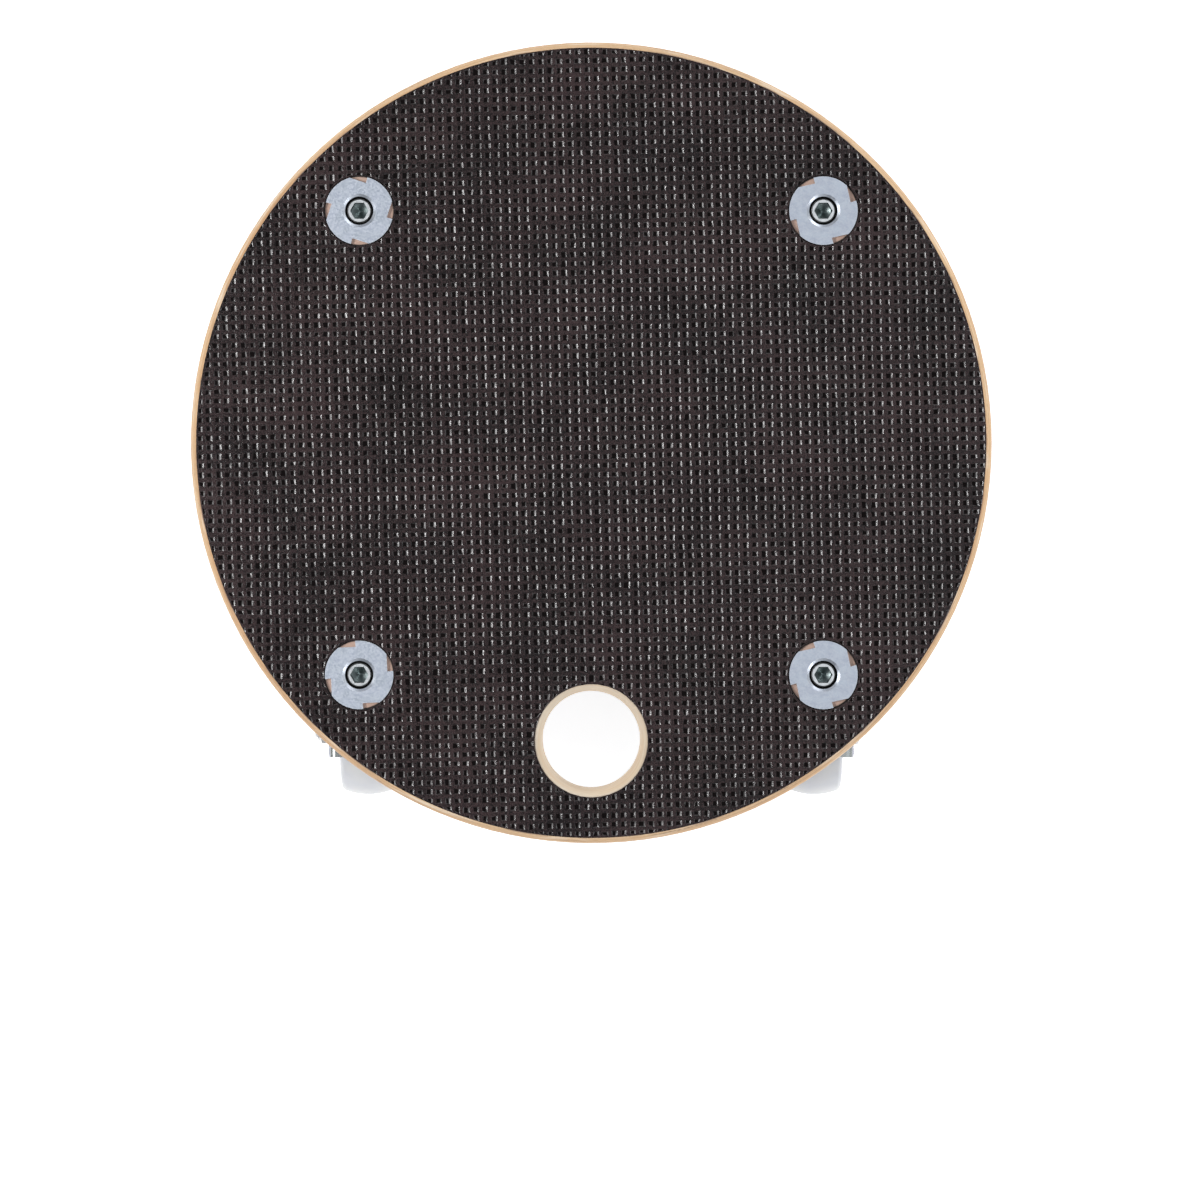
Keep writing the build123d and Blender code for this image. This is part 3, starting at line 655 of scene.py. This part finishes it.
def ballMaterial():
    material, tree, shader = newMaterial("ballSteel", Metallic=1.0)
    at = objectPlace(tree)
    grease = place(tree, grain, {"Vector": at, "Size": 0.003, "Detail": 3.0})["Value"]
    colour = mixColour(tree, fit(tree, grease, 0.45, 0.65), (0.78, 0.78, 0.80), (0.46, 0.42, 0.36))
    wire(tree, shader, Base_Color=colour, Roughness=fit(tree, grease, 0.4, 0.7, 0.08, 0.30))
    return material


nylon = {"milk": (0.69, 0.69, 0.69), "blue": (0.62, 0.63, 0.66), "warm": (0.70, 0.68, 0.63),
         "hubReach": 0.011, "rough": 0.36, "soak": 0.35, "soakDepth": 0.004}


def nylonMaterial():
    material, tree, shader = newMaterial("nylonWheel", Subsurface_Weight=nylon["soak"],
                                         Subsurface_Scale=nylon["soakDepth"], Specular_IOR_Level=0.45)
    shader.inputs["Subsurface Radius"].default_value = (1.0, 1.0, 0.9)
    at = place(tree, casterPlace, {"Pin": pinOffset})["Vector"]
    centred = stretched(tree, at, (0, 1, 1), (0, -axleY, -axleZ))
    reach = add(tree, "ShaderNodeVectorMath", {0: centred}, operation="LENGTH").outputs["Value"]
    cloud = place(tree, grain, {"Vector": at, "Size": 0.012, "Detail": 3.0})["Value"]
    fine = place(tree, grain, {"Vector": at, "Size": 0.0006, "Detail": 2.0})["Value"]
    colour = mixColour(tree, fit(tree, cloud, 0.35, 0.65), nylon["milk"], nylon["blue"])
    hub = fit(tree, reach, nylon["hubReach"] + 0.002, nylon["hubReach"])
    colour = mixColour(tree, calc(tree, "MULTIPLY", hub, 0.7), colour, nylon["warm"])
    rough = fit(tree, fine, 0.2, 0.8, nylon["rough"] - 0.06, nylon["rough"] + 0.08)
    wire(tree, shader, Base_Color=colour, Roughness=rough, Normal=bump(tree, fine, 0.12, 0.00008))
    return material


def buildFinishes():
    finishes = {
        "bottom_film": ridgeMaterial(), "deck_board": woodMaterial(),
        "fork": forkMaterial(), "wheel": nylonMaterial(), "upper_balls": ballMaterial(),
        "tee_nut": zincMaterial("teeNutZinc"), "swivel_dome": zincMaterial("domeZinc"),
        "axle_bolt": zincMaterial("boltZinc"), "stem": zincMaterial("stemSteel"),
        "lower_race": zincMaterial("raceSteel"),
    }
    finishes["top_film"] = finishes["bottom_film"]
    finishes["lower_balls"] = finishes["upper_balls"]
    finishes["axle_nut"] = finishes["axle_bolt"]
    finishes["axle_sleeve"] = finishes["stem"]
    return finishes


def dress(finishes):
    # every CAD node keeps its mesh and gets its finish
    for name, node in nodes.items():
        kind = name
        for corner in cornerNames:
            kind = kind.removesuffix("_" + corner)
        node.data.materials.clear()
        node.data.materials.append(finishes[kind])


studio = {
    "floor": (0.90, 0.90, 0.90), "floorGlow": 0.66, "floorSize": 30.0,
    "key": {"place": (-0.82, 0.0, 1.02), "size": 0.34, "power": 8.5},
    "fill": {"place": (1.3, -0.9, 0.75), "size": 0.6, "power": 6.0},
    "back": {"place": (0.9, 1.2, 0.45), "size": 0.7, "power": 5.0},
    "zenithLeft": (0.15, 0.16, 0.18), "zenithRight": (1.02, 1.05, 1.10), "zenithSpan": 0.09,
    "sky": 0.62, "backdrop": 1.0,
    "panels": [  # turn about the object, brightness
        (0.0, 0.45), (0.08, 0.50), (0.15, 0.30), (0.22, 0.62), (0.34, 0.90), (0.43, 0.50), (0.49, 0.72),
        (0.54, 0.80), (0.585, 0.22), (0.62, 1.2), (0.71, 1.2), (0.75, 0.60), (0.82, 1.0), (0.90, 0.35),
        (1.0, 0.45)],
}


def softbox(name, place, size, power):
    lamp = bpy.data.lights.new(name, "AREA")
    lamp.shape, lamp.size, lamp.energy = "SQUARE", size, power
    holder = bpy.data.objects.new(name, lamp)
    holder.location = place
    holder.rotation_mode = "QUATERNION"
    holder.rotation_quaternion = (Vector((0, 0, deckZ / 2)) - Vector(place)).to_track_quat("-Z", "Y")
    holder.visible_camera = False
    scene.collection.objects.link(holder)


def buildStudio():
    floorMesh = bpy.data.meshes.new("floor")
    half = studio["floorSize"] / 2
    corners = [(-half, -half, 0), (half, -half, 0), (half, half, 0), (-half, half, 0)]
    floorMesh.from_pydata(corners, [], [(0, 1, 2, 3)])
    floor = bpy.data.objects.new("floor", floorMesh)
    scene.collection.objects.link(floor)
    paint, tree, shader = newMaterial("floorPaint", Roughness=0.9, Specular_IOR_Level=0.1)
    shader.inputs["Base Color"].default_value = (*studio["floor"], 1)
    shader.inputs["Emission Color"].default_value = (1, 1, 1, 1)
    shader.inputs["Emission Strength"].default_value = studio["floorGlow"]
    floorMesh.materials.append(paint)
    for name in ("key", "fill", "back"):
        softbox(name, **studio[name])

    world = bpy.data.worlds.new("studio")
    world.use_nodes = True
    scene.world = world
    tree = world.node_tree
    tree.nodes.clear()
    direction = add(tree, "ShaderNodeTexCoord").outputs["Generated"]
    x, y, z = add(tree, "ShaderNodeSeparateXYZ", {"Vector": direction}).outputs
    around = calc(tree, "ARCTAN2", y, x)
    turns = calc(tree, "ADD", calc(tree, "DIVIDE", around, 2 * math.pi), 0.5)
    panels = add(tree, "ShaderNodeValToRGB", {"Fac": turns})
    ramp = panels.color_ramp
    ramp.interpolation = "EASE"
    stops = studio["panels"]
    ramp.elements[0].position, ramp.elements[1].position = stops[0][0], stops[-1][0]
    for spot, _ in stops[1:-1]:
        ramp.elements.new(spot)
    for element, (_, level) in zip(ramp.elements, stops):
        element.color = (level, level, level * 1.01, 1)
    overhead = fit(tree, z, 0.35, 0.92)
    across = fit(tree, x, -studio["zenithSpan"], studio["zenithSpan"])
    left = [v / studio["sky"] for v in studio["zenithLeft"]]
    right = [v / studio["sky"] for v in studio["zenithRight"]]
    top = mixColour(tree, across, left, right)
    light = mixColour(tree, overhead, panels.outputs["Color"], top)
    glow = add(tree, "ShaderNodeBackground", {"Color": light, "Strength": studio["sky"]})
    plain = add(tree, "ShaderNodeBackground", {"Color": (1, 1, 1, 1), "Strength": studio["backdrop"]})
    seen = add(tree, "ShaderNodeLightPath").outputs["Is Camera Ray"]
    both = add(tree, "ShaderNodeMixShader", {0: seen, 1: glow.outputs[0], 2: plain.outputs[0]})
    tree.links.new(both.outputs[0], add(tree, "ShaderNodeOutputWorld").inputs["Surface"])
    scene.view_settings.view_transform = "Standard"


view = {"lens": 116.8, "sensor": 36.0, "height": 1.45, "shift": (0.00725, -0.131)}  # disc high in the frame


def buildCamera():
    camera = bpy.data.cameras.new("camera")
    camera.lens = view["lens"]
    camera.sensor_width = view["sensor"]
    camera.shift_x, camera.shift_y = view["shift"]
    holder = bpy.data.objects.new("camera", camera)
    holder.location = (0, 0, deckZ + view["height"])
    scene.collection.objects.link(holder)
    scene.camera = holder


scene = bpy.context.scene
buildCamera()
buildStudio()
print("studio ready")
finishes = buildFinishes()
dress(finishes)
print("finishes on", len(nodes), "nodes")
buildFilm(finishes["bottom_film"])
